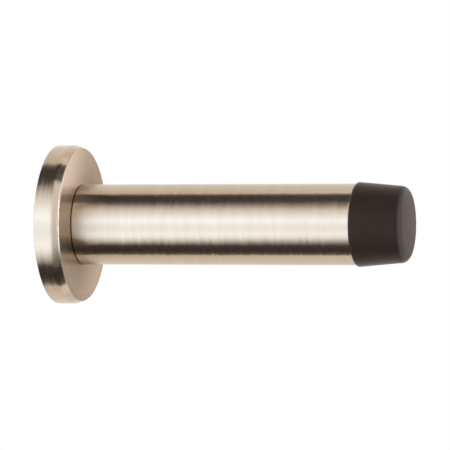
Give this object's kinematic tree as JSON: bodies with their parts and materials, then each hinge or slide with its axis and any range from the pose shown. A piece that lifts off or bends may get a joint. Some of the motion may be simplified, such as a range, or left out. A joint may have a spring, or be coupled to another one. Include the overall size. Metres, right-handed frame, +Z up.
{
  "type": "wall door stop",
  "caption": "Cylinder wall door stop: a round rose over a concealed fixing plate carries a straight metal stem tipped with a tapered rubber buffer.",
  "frame": {"origin": "centre of the wall face, on the stop's axis, where the fixing plate and the rose bear on the wall", "axes": "+X out of the wall along the stem towards the buffer, +Z up, the two wall screws one above the other along Z"},
  "size_m": [0.0864, 0.038, 0.038],
  "materials": {
    "satin_nickel": "turned brass with a warm satin nickel plate, brushed around the axis",
    "zinc_plated_steel": "bright zinc plate, dull",
    "dark_rubber": "moulded brown-black rubber, matt with a soft sheen"
  },
  "bodies": {
    "root": {"fixing_plate": "zinc_plated_steel", "centre_stud": "zinc_plated_steel", "rose": "satin_nickel", "stem": "satin_nickel", "buffer": "dark_rubber"}
  },
  "joints": []
}
